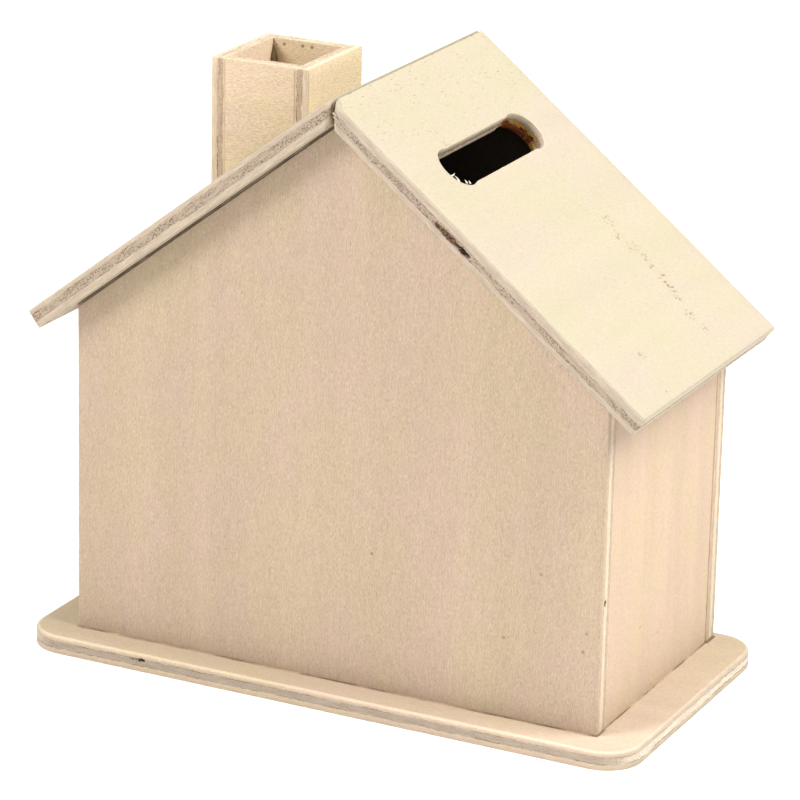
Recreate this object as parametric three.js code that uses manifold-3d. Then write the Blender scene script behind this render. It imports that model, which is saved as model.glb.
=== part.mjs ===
// Money box shaped like a small house, glued up from thin plywood boards.
// Millimetres, +Z up. The front gable faces -Y and the origin is the middle of the base's underside.

import * as THREE from 'three';
import { mergeVertices } from 'three/addons/utils/BufferGeometryUtils.js';
import Module from 'manifold-3d';

const wasm = await Module();
wasm.setup();

// Board thicknesses
const BASE_THICKNESS = 3.3;
const WALL_THICKNESS = 3.3;
const ROOF_THICKNESS = 3.6;
const CHIMNEY_THICKNESS = 2.6;

// Base plate, a rectangle with rounded corners
const BASE_WIDTH = 116;
const BASE_DEPTH = 59.5;
const BASE_CORNER_RADIUS = 7;
const FRONT_LEDGE = 6;
const REAR_LEDGE = 2.5;

// House body on the base: its width is the gables', its depth runs over both gables
const HOUSE_WIDTH = 100;
const EAVE_HEIGHT = 59.2;
const SIDE_WALL_INSET = 0.3;

// Roof: two slopes that meet in a mitre under the ridge
const PITCH = THREE.MathUtils.degToRad(38.2);
const ROOF_UNDERSIDE_LENGTH = 70.6;
const ROOF_FRONT_OVERHANG = 3.8;
const GLUE_LINE = 0.3;

// Coin slot in the right slope: two drilled ends joined by a slightly narrower straight cut
const SLOT_DRILL_RADIUS = 4;
const SLOT_WIDTH = 7.5;
const SLOT_LENGTH = 34.3;
const SLOT_FROM_RIDGE = 20.35;
const SLOT_CUT_CLEARANCE = 1;

// Chimney, a square tube of four walls standing on the left slope
const CHIMNEY_WIDTH = 18.7;
const CHIMNEY_DEPTH = 20.1;
const CHIMNEY_CENTRE_X = -23.1;
const CHIMNEY_SETBACK = 15.2;
const CHIMNEY_BELOW_RIDGE = 1.1;

// Stopper in the base: a slightly tapered push-in plug with two grip pockets beside a bar
const STOPPER_HOLE_RADIUS = 12.5;
const STOPPER_RIM_RADIUS = 12.2;
const STOPPER_TAPER = 0.3;
const STOPPER_HEIGHT = 6;
const STOPPER_RIM_CHAMFER = 0.6;
const STOPPER_RECESS = 0.4;
const POCKET_RADIUS = 9.2;
const POCKET_DEPTH = 3.4;
const GRIP_BAR_WIDTH = 3.6;
const POCKET_CUT_MARGIN = 1;

const CURVE_SEGMENTS = 12;
const ROUND_SEGMENTS = 64;
const WELD_TOLERANCE = 1e-4;

// Places worked out from the sizes above
const HOUSE_FRONT = -BASE_DEPTH / 2 + FRONT_LEDGE;
const HOUSE_REAR = BASE_DEPTH / 2 - REAR_LEDGE;
const HOUSE_CENTRE_Y = (HOUSE_FRONT + HOUSE_REAR) / 2;
const WALL_TOP = BASE_THICKNESS + EAVE_HEIGHT;
const SLOPE = Math.tan(PITCH);
const GABLE_APEX = WALL_TOP + (HOUSE_WIDTH / 2) * SLOPE;
const RIDGE_UNDERSIDE = GABLE_APEX + GLUE_LINE / Math.cos(PITCH);
const RIDGE_TOP = RIDGE_UNDERSIDE + ROOF_THICKNESS / Math.cos(PITCH);
const ROOF_FRONT = HOUSE_FRONT - ROOF_FRONT_OVERHANG;
const ROOF_REAR = BASE_DEPTH / 2;
const CHIMNEY_TOP = RIDGE_TOP - CHIMNEY_BELOW_RIDGE;

function plywood(color) {
  return new THREE.MeshStandardMaterial({ color, roughness: 0.75, metalness: 0 });
}

const basePlywood = plywood(0xefd0a8);
const wallPlywood = plywood(0xe6c6a4);
const roofPlywood = plywood(0xf8e6c4);
const chimneyPlywood = plywood(0xf0d2aa);
const stopperPlastic = new THREE.MeshStandardMaterial({ color: 0xd9d4c6, roughness: 0.5, metalness: 0 });

function outline(points) {
  return new THREE.Shape(points.map(([x, y]) => new THREE.Vector2(x, y)));
}

// A board whose outline is drawn in the front elevation (x, z), from its front face to its rear one.
function elevationBoard(name, points, front, rear, material) {
  const geometry = new THREE.ExtrudeGeometry(outline(points), { depth: rear - front, bevelEnabled: false });
  const board = new THREE.Mesh(geometry, material);
  board.name = name;
  board.rotation.x = Math.PI / 2;
  board.position.y = rear;
  return board;
}

function toSolid(geometry) {
  const bare = geometry.clone();
  bare.deleteAttribute('normal');
  bare.deleteAttribute('uv');
  const merged = mergeVertices(bare, WELD_TOLERANCE);
  return new wasm.Manifold(new wasm.Mesh({
    numProp: 3,
    vertProperties: merged.attributes.position.array,
    triVerts: Uint32Array.from(merged.index.array),
  }));
}

function toGeometry(solid) {
  const { vertProperties, triVerts } = solid.getMesh();
  const geometry = new THREE.BufferGeometry();
  geometry.setAttribute('position', new THREE.BufferAttribute(vertProperties, 3));
  geometry.setIndex(new THREE.BufferAttribute(triVerts, 1));
  geometry.computeVertexNormals();
  return geometry;
}

function basePlate() {
  const x = BASE_WIDTH / 2;
  const y = BASE_DEPTH / 2;
  const r = BASE_CORNER_RADIUS;
  const shape = new THREE.Shape();
  shape.absarc(x - r, y - r, r, 0, Math.PI / 2);
  shape.absarc(-x + r, y - r, r, Math.PI / 2, Math.PI);
  shape.absarc(-x + r, -y + r, r, Math.PI, Math.PI * 1.5);
  shape.absarc(x - r, -y + r, r, Math.PI * 1.5, Math.PI * 2);

  const hole = new THREE.Path();
  const angles = Array.from({ length: ROUND_SEGMENTS }, (_, i) => (i / ROUND_SEGMENTS) * Math.PI * 2);
  hole.setFromPoints(angles.map((a) => new THREE.Vector2(
    STOPPER_HOLE_RADIUS * Math.cos(a),
    HOUSE_CENTRE_Y + STOPPER_HOLE_RADIUS * Math.sin(a),
  )));
  shape.holes.push(hole);

  const options = { depth: BASE_THICKNESS, bevelEnabled: false, curveSegments: CURVE_SEGMENTS };
  const plate = new THREE.Mesh(new THREE.ExtrudeGeometry(shape, options), basePlywood);
  plate.name = 'base_plate';
  return plate;
}

function bottomStopper() {
  const top = STOPPER_RIM_RADIUS - STOPPER_TAPER;
  const profile = [
    [0, 0],
    [STOPPER_RIM_RADIUS - STOPPER_RIM_CHAMFER, 0],
    [STOPPER_RIM_RADIUS, STOPPER_RIM_CHAMFER],
    [top, STOPPER_HEIGHT - STOPPER_RIM_CHAMFER],
    [top - STOPPER_RIM_CHAMFER, STOPPER_HEIGHT],
    [0, STOPPER_HEIGHT],
  ].map(([r, z]) => new THREE.Vector2(r, z));
  const plug = toSolid(new THREE.LatheGeometry(profile, ROUND_SEGMENTS).rotateX(Math.PI / 2));

  const pocketCut = 2 * POCKET_DEPTH;
  const round = new THREE.CylinderGeometry(POCKET_RADIUS, POCKET_RADIUS, pocketCut, ROUND_SEGMENTS);
  const barLength = 2 * (POCKET_RADIUS + POCKET_CUT_MARGIN);
  const barHeight = pocketCut + 2 * POCKET_CUT_MARGIN;
  const bar = new THREE.BoxGeometry(barLength, GRIP_BAR_WIDTH, barHeight);
  const pockets = toSolid(round.rotateX(Math.PI / 2)).subtract(toSolid(bar));

  const stopper = new THREE.Mesh(toGeometry(plug.subtract(pockets)), stopperPlastic);
  stopper.name = 'bottom_stopper';
  stopper.position.set(0, HOUSE_CENTRE_Y, STOPPER_RECESS);
  return stopper;
}

function gable(name, front) {
  const half = HOUSE_WIDTH / 2;
  const pentagon = [
    [-half, BASE_THICKNESS],
    [half, BASE_THICKNESS],
    [half, WALL_TOP],
    [0, GABLE_APEX],
    [-half, WALL_TOP],
  ];
  return elevationBoard(name, pentagon, front, front + WALL_THICKNESS, wallPlywood);
}

// A side wall stands between the gables, and its top edge is bevelled to the roof's pitch.
function sideWall(name, side) {
  const outer = HOUSE_WIDTH / 2 - SIDE_WALL_INSET;
  const inner = outer - WALL_THICKNESS;
  const topAt = (x) => GABLE_APEX - x * SLOPE;
  const section = [
    [inner, BASE_THICKNESS],
    [outer, BASE_THICKNESS],
    [outer, topAt(outer)],
    [inner, topAt(inner)],
  ].map(([x, z]) => [side * x, z]);
  return elevationBoard(name, section, HOUSE_FRONT + WALL_THICKNESS, HOUSE_REAR - WALL_THICKNESS, wallPlywood);
}

// One slope, lying in its own frame: x runs down the slope from the ridge, z is up out of its top face.
function roofPanelGeometry() {
  const mitre = ROOF_THICKNESS * SLOPE;
  const length = ROOF_UNDERSIDE_LENGTH + mitre;
  const section = outline([[0, 0], [mitre, -ROOF_THICKNESS], [length, -ROOF_THICKNESS], [length, 0]]);
  const depth = ROOF_REAR - ROOF_FRONT;
  const geometry = new THREE.ExtrudeGeometry(section, { depth, bevelEnabled: false });
  return geometry.rotateX(Math.PI / 2).translate(0, depth / 2, 0);
}

// The slot's outline, in the slope's own frame, pushed right through the panel.
function slotCutter() {
  const reach = Math.acos(SLOT_WIDTH / 2 / SLOT_DRILL_RADIUS);
  const end = SLOT_LENGTH / 2 - SLOT_DRILL_RADIUS;
  const shape = new THREE.Shape();
  shape.absarc(0, end, SLOT_DRILL_RADIUS, -reach, Math.PI + reach);
  shape.absarc(0, -end, SLOT_DRILL_RADIUS, Math.PI - reach, 2 * Math.PI + reach);
  const depth = ROOF_THICKNESS + 2 * SLOT_CUT_CLEARANCE;
  const options = { depth, bevelEnabled: false, curveSegments: 2 * CURVE_SEGMENTS };
  const geometry = new THREE.ExtrudeGeometry(shape, options);
  return geometry.translate(SLOT_FROM_RIDGE, 0, SLOT_CUT_CLEARANCE - depth);
}

function roofPanel(name, geometry, turn) {
  const panel = new THREE.Mesh(geometry, roofPlywood);
  panel.name = name;
  panel.rotation.y = PITCH;
  panel.position.x = GLUE_LINE / 2;
  const slope = new THREE.Group();
  slope.rotation.z = turn;
  slope.position.set(0, (ROOF_FRONT + ROOF_REAR) / 2, RIDGE_TOP - (GLUE_LINE / 2) * SLOPE);
  slope.add(panel);
  return slope;
}

function slottedPanelGeometry() {
  return toGeometry(toSolid(roofPanelGeometry()).subtract(toSolid(slotCutter())));
}

// The chimney's left and right walls run its whole depth, and its front and rear walls fit between them.
function chimney() {
  const t = CHIMNEY_THICKNESS;
  const left = CHIMNEY_CENTRE_X - CHIMNEY_WIDTH / 2;
  const right = CHIMNEY_CENTRE_X + CHIMNEY_WIDTH / 2;
  const front = HOUSE_FRONT + CHIMNEY_SETBACK;
  const rear = front + CHIMNEY_DEPTH;
  const footAt = (x) => RIDGE_TOP + x * SLOPE + GLUE_LINE / Math.cos(PITCH);

  function wall(name, x0, x1, y0, y1) {
    const section = [[x0, footAt(x0)], [x1, footAt(x1)], [x1, CHIMNEY_TOP], [x0, CHIMNEY_TOP]];
    return elevationBoard(name, section, y0, y1, chimneyPlywood);
  }

  const walls = new THREE.Group();
  walls.add(wall('chimney_left_wall', left, left + t, front, rear));
  walls.add(wall('chimney_right_wall', right - t, right, front, rear));
  walls.add(wall('chimney_front_wall', left + t, right - t, front, front + t));
  walls.add(wall('chimney_rear_wall', left + t, right - t, rear - t, rear));
  return walls;
}

function walls() {
  const group = new THREE.Group();
  group.add(gable('front_gable', HOUSE_FRONT));
  group.add(gable('rear_gable', HOUSE_REAR - WALL_THICKNESS));
  group.add(sideWall('left_side_wall', -1));
  group.add(sideWall('right_side_wall', 1));
  return group;
}

function roof() {
  const group = new THREE.Group();
  group.add(roofPanel('right_roof_panel', slottedPanelGeometry(), 0));
  group.add(roofPanel('left_roof_panel', roofPanelGeometry(), Math.PI));
  return group;
}

const moneyBox = new THREE.Group();
moneyBox.add(basePlate(), bottomStopper(), walls(), roof(), chimney());

export default moneyBox;
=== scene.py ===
# Looks of the house-shaped plywood money box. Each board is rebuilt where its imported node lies, with three
# plies, sanded corners, torn core and grain, and the stopper as a moulded plug. Boards are worked out in
# millimetres, in their own plane, and placed in the frame in metres.
import math
from dataclasses import dataclass
from types import SimpleNamespace

import bpy
import numpy as np
from mathutils import Matrix, Vector, noise
from mathutils.geometry import delaunay_2d_cdt


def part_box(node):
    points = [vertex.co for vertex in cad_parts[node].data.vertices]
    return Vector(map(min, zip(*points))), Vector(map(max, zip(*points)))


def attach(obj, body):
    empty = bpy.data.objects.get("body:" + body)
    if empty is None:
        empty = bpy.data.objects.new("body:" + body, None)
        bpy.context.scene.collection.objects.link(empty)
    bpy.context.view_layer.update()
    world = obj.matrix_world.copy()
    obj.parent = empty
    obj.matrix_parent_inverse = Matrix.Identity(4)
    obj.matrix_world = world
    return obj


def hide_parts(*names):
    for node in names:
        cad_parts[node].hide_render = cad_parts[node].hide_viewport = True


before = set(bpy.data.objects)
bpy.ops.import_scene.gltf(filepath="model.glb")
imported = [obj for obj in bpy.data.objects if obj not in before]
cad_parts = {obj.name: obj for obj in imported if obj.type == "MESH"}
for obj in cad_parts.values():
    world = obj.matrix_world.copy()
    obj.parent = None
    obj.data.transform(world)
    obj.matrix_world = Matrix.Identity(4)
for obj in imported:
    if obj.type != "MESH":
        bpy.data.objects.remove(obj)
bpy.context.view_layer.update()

MM = 0.001
X = np.array((1.0, 0.0, 0.0))
Y = np.array((0.0, 1.0, 0.0))
Z = np.array((0.0, 0.0, 1.0))

# Sizes shared with the CAD, in millimetres
PITCH = math.radians(38.2)
SLOPE = math.tan(PITCH)
COSINE = math.cos(PITCH)
EAVE_HEIGHT = 59.2
BASE_CORNER_RADIUS = 7
SLOT_DRILL_RADIUS = 4
SLOT_WIDTH = 7.5
SLOT_LENGTH = 34.3
SLOT_FROM_RIDGE = 20.35
GLUE_LINE = 0.3
SIDE_WALL_INSET = 0.3
STOPPER_HOLE_RADIUS = 12.5
STOPPER_TAPER = 0.3
POCKET_RADIUS = 9.2
POCKET_DEPTH = 3.4
GRIP_BAR_WIDTH = 3.6

# How bright the key light is where it falls squarely: paints are given as they look under it
STUDIO_GAIN = 1.8

# How a board's edge is built: its rings, its grooves at the glue lines, and how far it strays
EDGE_STEP = 0.5
CORNER_STEPS = 5
CORE_STEPS = 5
GLUE_LIP = 0.06
GLUE_GROOVE = 0.04
CORE_RECESS = 0.03
VENEER_ROUGHNESS = 0.02
CORE_ROUGHNESS = 0.09
EDGE_CLEARANCE = 0.03
EDGE_WANDER = 0.05
PLY_WANDER = 0.12
BEVEL_FADE = 12.0
CHIP_DEPTH = 0.22

# Edges of sawn holes: less rounded and rougher; the slot's walls are brightened as painted light
HOLE_SOFTEN = 0.22
HOLE_ROUGHNESS = 2.2
HOLE_PAINTED_LIGHT = 1.35

# Sizes of the features along an edge, and the levels of the noise that two of them use
WANDER_SIZE = 14
BOW_SIZE, BOW_LEVEL = 6, 7.0
CHIP_SIZE, CHIP_LEVEL = 1.3, 31.0
FIBRE_SIZE = 0.7

# Faces, thin tubes and seams
FACE_GRID = 3.0
FACE_RELIEF = 0.015
FACE_RELIEF_SIZE = 9
TUBE_SIDES = 6
BEAD_STEP = 0.6
SEAM_INSET = 0.28

# Wood: how far apart two boards are cut out of it, and the widest mark that isn't broken up into flecks
WOOD_STEP = 173.0
SMALL_MARK = 1.0


def corners(node):
    """A node's lowest and highest corner, in millimetres."""
    low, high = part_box(node)
    return np.array(low) / MM, np.array(high) / MM


# -------- outlines

def unit(vector):
    return vector / np.linalg.norm(vector)


def arc(centre, radius, start, sweep, step=EDGE_STEP):
    """Points along an arc, both ends included."""
    angles = np.linspace(start, start + sweep, max(4, math.ceil(abs(sweep) * radius / step)) + 1)
    return np.array(centre) + radius * np.column_stack((np.cos(angles), np.sin(angles)))


def closed(stretches, step=EDGE_STEP):
    """One loop through the stretches in order, with straight runs between their ends."""
    loop = []
    for stretch, following in zip(stretches, stretches[1:] + stretches[:1]):
        loop.extend(stretch)
        gap = following[0] - stretch[-1]
        count = round(np.linalg.norm(gap) / step)
        loop.extend(stretch[-1] + gap * share for share in np.arange(1, count) / max(count, 1))
    loop = np.array(loop)
    return loop[np.linalg.norm(loop - np.roll(loop, 1, 0), axis=1) > 1e-6]


def rounded(turns, radii):
    """Anticlockwise loop round a convex polygon with rounded corners, of one radius or one each."""
    turns = np.array(turns, float)
    radii = np.broadcast_to(radii, len(turns))
    arcs = []
    for before, here, after, radius in zip(np.roll(turns, 1, 0), turns, np.roll(turns, -1, 0), radii):
        way_in = unit(here - before)
        way_out = unit(after - here)
        turn = math.acos(np.clip(way_in @ way_out, -1, 1))
        start = here - way_in * radius * math.tan(turn / 2)
        centre = start + radius * np.array((-way_in[1], way_in[0]))
        arcs.append(arc(centre, radius, math.atan2(*(start - centre)[::-1]), turn))
    return closed(arcs)


def rectangle(low, high, radii):
    return rounded([low, (high[0], low[1]), high, (low[0], high[1])], radii)


def circle(centre, radius):
    return arc(centre, radius, 0, 2 * math.pi)[:-1]


def slot_outline(centre):
    """Two drilled ends joined by a slightly narrower straight cut."""
    reach = math.acos(SLOT_WIDTH / 2 / SLOT_DRILL_RADIUS)
    offset = np.array((0, SLOT_LENGTH / 2 - SLOT_DRILL_RADIUS))
    sweep = math.pi + 2 * reach
    far = arc(centre + offset, SLOT_DRILL_RADIUS, -reach, sweep)
    near = arc(centre - offset, SLOT_DRILL_RADIUS, math.pi - reach, sweep)
    return closed([far, near])


def inside(points, loops):
    """Which points lie inside an odd number of the loops."""
    odd = np.zeros(len(points), bool)
    for loop in loops:
        start = loop[None, :, :]
        end = np.roll(loop, -1, 0)[None, :, :]
        x, y = points[:, None, 0], points[:, None, 1]
        spans = (start[..., 1] > y) != (end[..., 1] > y)
        rise = np.where(spans, end[..., 1] - start[..., 1], 1)
        crossing = start[..., 0] + (y - start[..., 1]) * (end[..., 0] - start[..., 0]) / rise
        odd ^= (spans & (x < crossing)).sum(1) % 2 == 1
    return odd


def left_normals(loop):
    """Unit normals to the left of the way round, which is where the material lies."""
    ahead = np.roll(loop, -1, 0) - np.roll(loop, 1, 0)
    normals = np.column_stack((-ahead[:, 1], ahead[:, 0]))
    return normals / np.linalg.norm(normals, axis=1, keepdims=True)


def at_level(loop, level):
    return np.c_[loop, np.full(len(loop), level)]


def noise_along(points, size):
    """Smooth noise from -1 to 1 at each point, with features of about the given size."""
    return np.array([noise.noise(Vector(point) / size) for point in points])


# -------- meshes

def add_object(name, data):
    made = bpy.data.objects.new(name, data)
    bpy.context.scene.collection.objects.link(made)
    return made


class Shell:
    """A closed mesh in (a, b, w) millimetres. Each point has its height in the plies, its wear, which is
    (how flat the edge is; how dark, which in a void's hollow is painted shade; how scorched, which on a
    hole's wall also brings painted light), and how far its edge is cut across the grain.
    """

    def __init__(self):
        self.places = []
        self.heights = []
        self.wears = []
        self.cuts = []
        self.faces = []
        self.count = 0

    def add(self, places, heights, wears=0.0, cuts=0.0):
        count = len(places)
        self.places.append(np.asarray(places, float))
        self.heights.append(np.broadcast_to(heights, count))
        self.wears.append(np.broadcast_to(wears, (count, 3)))
        self.cuts.append(np.broadcast_to(cuts, count))
        self.count += count
        return np.arange(self.count - count, self.count)

    def bridge(self, lower, upper):
        """Quads between two rings, facing away from the material on the left of the way round."""
        quads = (lower, np.roll(lower, -1), np.roll(upper, -1), upper)
        self.faces.extend(np.column_stack(quads).tolist())

    def join(self, rings):
        """The rings bridged in turn. Gives the first and the last."""
        for lower, upper in zip(rings, rings[1:]):
            self.bridge(lower, upper)
        return rings[0], rings[-1]

    def stack(self, loops, levels):
        """One ring on each loop, at its level, and all of them joined."""
        return self.join([self.add(at_level(loop, level), level) for loop, level in zip(loops, levels)])

    def cap(self, rings, level, height, up, grid=FACE_GRID):
        """A face inside the first ring and outside the others, over a loose grid of points."""
        places = np.concatenate(self.places)
        loops = [places[ring][:, :2] for ring in rings]
        low, high = loops[0].min(0), loops[0].max(0)
        columns, rows = np.ceil((high - low) / grid).astype(int)
        across, along = np.meshgrid(np.linspace(low[0], high[0], columns + 1),
                                    np.linspace(low[1], high[1], rows + 1))
        middle = np.column_stack((across.ravel(), along.ravel()))
        outline = np.concatenate(loops)
        gaps = np.linalg.norm(middle[:, None] - outline[None], axis=2).min(1)
        middle = middle[inside(middle, loops) & (gaps > grid * 0.45)]
        bumps = noise_along(at_level(middle, level), FACE_RELIEF_SIZE)
        relief = FACE_RELIEF * (bumps - 1)
        lifted = level + (relief if up else -relief)
        inner = self.add(np.c_[middle, lifted], height)
        ids = np.concatenate([*rings, inner])
        edges = []
        first = 0
        for loop in loops:
            count = len(loop)
            edges.extend((first + i, first + (i + 1) % count) for i in range(count))
            first += count
        points = np.concatenate([outline, middle])
        made = delaunay_2d_cdt([Vector(point) for point in points], edges, [], 0, 1e-7)
        sources = np.array([source[0] for source in made[3]])
        triangles = sources[np.array(made[2])]
        triangles = triangles[inside(points[triangles].mean(1), loops)]
        one, two, three = (points[triangles[:, k]] for k in range(3))
        area = (two - one)[:, 0] * (three - one)[:, 1] - (two - one)[:, 1] * (three - one)[:, 0]
        turned = (area > 0) != up
        triangles[turned] = triangles[turned][:, ::-1]
        self.faces.extend(ids[triangles].tolist())

    def to_object(self, name, origin, a_axis, b_axis, material, grain="a", wood=0):
        """The shell as a Blender object, with the attributes that the materials read."""
        places = np.concatenate(self.places)
        axes = np.array((a_axis, b_axis, np.cross(a_axis, b_axis)))
        mesh = bpy.data.meshes.new(name)
        mesh.from_pydata(((np.array(origin) + places @ axes) * MM).tolist(), [], self.faces)
        along, across = (0, 1) if grain == "a" else (1, 0)
        plies = np.column_stack((places[:, along] + WOOD_STEP * wood, places[:, across],
                                 np.concatenate(self.heights)))
        for label, kind, key, values in (("ply", "FLOAT_VECTOR", "vector", plies),
                                         ("wear", "FLOAT_VECTOR", "vector", np.concatenate(self.wears)),
                                         ("cut", "FLOAT", "value", np.concatenate(self.cuts))):
            attribute = mesh.attributes.new(label, kind, "POINT")
            attribute.data.foreach_set(key, values.astype(np.float32).ravel())
        mesh.polygons.foreach_set("use_smooth", np.ones(len(mesh.polygons), bool))
        mesh.materials.append(material)
        mesh.update()
        return add_object(name, mesh)


def edge_rings(thickness, glue, soften):
    """(height, inset, share of core, how flat the edge is) of each ring up a board's edge.

    The corner at the top, which is sanded, is twice as round as the one at the bottom.
    """
    turn = np.linspace(0, math.pi / 2, CORNER_STEPS)
    corner = [(soften * (1 - math.cos(t)), soften * (1 - math.sin(t)), math.sin(t)) for t in turn]
    lower, upper = glue
    middle = [((soften / 2 + lower - GLUE_LIP) / 2, 0, 0), (lower - GLUE_LIP, 0, 0),
              (lower, GLUE_GROOVE, 0.5)]
    levels = np.linspace(lower + GLUE_LIP, upper - GLUE_LIP, CORE_STEPS)
    middle += [(level, CORE_RECESS, 1) for level in levels]
    middle += [(upper, GLUE_GROOVE, 0.5), (upper + GLUE_LIP, 0, 0),
               ((upper + GLUE_LIP + thickness - soften) / 2, 0, 0)]
    return ([(height / 2, inset / 2, 0, flat) for height, inset, flat in corner]
            + [(*ring, 1) for ring in middle]
            + [(thickness - height, inset, 0, flat) for height, inset, flat in reversed(corner)])


def smoothstep(low, high, value):
    share = np.clip((value - low) / (high - low), 0, 1)
    return share * share * (3 - 2 * share)


@dataclass
class Flaw:
    """A void or knot that shows on an edge, round the point (a, b) and centred at the given level."""

    a: float
    b: float
    level: float
    reach: float
    tall: float
    depth: float
    darkness: float = 1.0

    def share(self, points):
        along = np.linalg.norm(points[:, :2] - (self.a, self.b), axis=1) / self.reach
        distance = np.hypot(along, (points[:, 2] - self.level) / self.tall)
        return 1 - smoothstep(0.55, 1.0, distance + 0.22 * noise_along(points, 0.8))


@dataclass
class Worn:
    """A stretch of a board's upper edge that has been knocked round, near the point (a, b)."""

    a: float
    b: float
    reach: float
    radius: float

    def inset(self, loop, below):
        """How far back the edge is, this far below the board's face."""
        distance = np.linalg.norm(loop - (self.a, self.b), axis=1)
        share = 1 - smoothstep(0.4 * self.reach, self.reach, distance)
        radius = self.radius * share
        drop = np.maximum(radius - below, 0)
        return radius - np.sqrt(np.maximum(radius ** 2 - drop ** 2, 0))


def edge(shell, loop, stock, soften, bevel, grain, flaws=(), worn=(), stain=None, roughness=1.0, chips=0.0):
    """The rings up one edge of a board, bridged. Gives the lowest ring and the highest."""
    thickness = stock.thickness
    normals = left_normals(loop)
    across_grain = normals[:, 0 if grain == "a" else 1] ** 2
    count = len(loop)

    def uneven(level, size):
        return noise_along(at_level(loop, level), size)

    wander = EDGE_CLEARANCE + EDGE_WANDER * (1 + uneven(0.0, WANDER_SIZE)) / 2
    bow = PLY_WANDER * uneven(BOW_LEVEL, BOW_SIZE)
    chipped = chips * smoothstep(0.22, 0.45, uneven(CHIP_LEVEL, CHIP_SIZE))
    rings = []
    for height, inset, core, flat in edge_rings(thickness, stock.glue, soften):
        middle = 4 * height * (thickness - height) / thickness ** 2
        level = height + bow * middle
        points = np.c_[loop, level]
        fine = noise_along(points * (1, 1, 1.6), FIBRE_SIZE)
        torn = np.maximum(fine, 0) * CORE_ROUGHNESS * core
        nap = VENEER_ROUGHNESS * fine * flat
        depth = wander + inset + roughness * (torn + nap)
        depth += chipped * (1 - core) * (1 - abs(2 * flat - 1.3) / 1.3)
        for spot in worn:
            depth += spot.inset(loop, thickness - height)
        dark = np.zeros(count)
        for flaw in flaws:
            share = flaw.share(points)
            depth = depth + flaw.depth * share
            dark = np.maximum(dark, share * flaw.darkness)
        depth = np.maximum(depth, EDGE_CLEARANCE / 2)
        moved = loop + normals * depth[:, None]
        # On a hole's wall this carries the painted light as well as the scorch.
        scorch_and_painted_light = 0.0 if stain is None else min(1, 4 * flat) * (0.5 + 0.5 * stain(points))
        placed = np.c_[bevel(moved, level), level]
        wears = np.c_[np.full(count, flat), dark, np.broadcast_to(scorch_and_painted_light, count)]
        rings.append(shell.add(placed, height, wears, across_grain))
    return shell.join(rings)


def square_edge(points, level):
    """The bevel of a board whose edges are all square."""
    return points


def make_board(name, stock, origin, a_axis, b_axis, outline, grain, soften, holes=(), bevel=square_edge,
               flaws=(), worn=(), stain=None, chips=0.0):
    """One plywood board in place of the CAD node of the same name."""
    shell = Shell()
    ends = [edge(shell, outline, stock, soften, bevel, grain, flaws, worn, chips=chips)]
    for hole in holes:
        ends.append(edge(shell, hole[::-1], stock, HOLE_SOFTEN, bevel, grain, stain=stain,
                         roughness=HOLE_ROUGHNESS))
    shell.cap([low for low, high in ends], 0, 0, up=False)
    shell.cap([high for low, high in ends], stock.thickness, stock.thickness, up=True)
    wood = WOODS.index(name)
    board = shell.to_object(name + "_board", origin, a_axis, b_axis, stock.material, grain, wood)
    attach(board, "house")
    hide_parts(name)


def tube(shell, path, radii, upright, looped):
    """A thin tube along a path of points, with a radius for each."""
    ahead = np.roll(path, -1, 0) - np.roll(path, 1, 0) if looped else np.gradient(path, axis=0)
    rings = []
    for point, way, radius in zip(path, ahead, radii):
        way = unit(way)
        side = unit(np.cross(upright, way))
        lift = np.cross(way, side)
        angles = np.arange(TUBE_SIDES) * 2 * math.pi / TUBE_SIDES
        ring = point + radius * (np.outer(np.cos(angles), side) + np.outer(np.sin(angles), lift))
        rings.append(shell.add(ring, point[2]))
    first, last = shell.join(rings)
    if looped:
        shell.bridge(last, first)
    else:
        shell.faces += [first[::-1].tolist(), last.tolist()]


def glue_sheet(name, material, origin, a_axis, b_axis, extent, opening=None, inset=0.02, wander=0.16):
    """Dried glue that fills a joint, with an uneven edge a little way in from the boards' faces."""
    shell = Shell()
    ends = []
    levels = np.array((0.02, GLUE_LINE / 2, GLUE_LINE - 0.02))
    radius = inset + wander + 0.2
    outlines = [rectangle(*extent, radius)]
    if opening is not None:
        outlines.append(rectangle(*opening, radius)[::-1])
    for loop in outlines:
        ragged = inset + wander * (1 + noise_along(at_level(loop, 3.0), 1.7)) / 2
        moved = loop + left_normals(loop) * ragged[:, None]
        ends.append(shell.stack([moved] * len(levels), levels))
    shell.cap([low for low, high in ends], levels[0], 0, up=False)
    shell.cap([high for low, high in ends], levels[-1], 0, up=True)
    sheet = shell.to_object(name, origin, a_axis, b_axis, material)
    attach(sheet, "house")


# -------- materials

def paint(red, green, blue):
    """Linear colour of a surface that looks like these screen values where the key light is on it."""
    def linear(value):
        share = value / 255
        return share / 12.92 if share <= 0.04045 else ((share + 0.055) / 1.055) ** 2.4
    return tuple(linear(value) / STUDIO_GAIN for value in (red, green, blue)) + (1.0,)


def tinted(colour, *factors):
    return tuple(part * factor for part, factor in zip(colour, factors)) + (1.0,)


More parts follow.
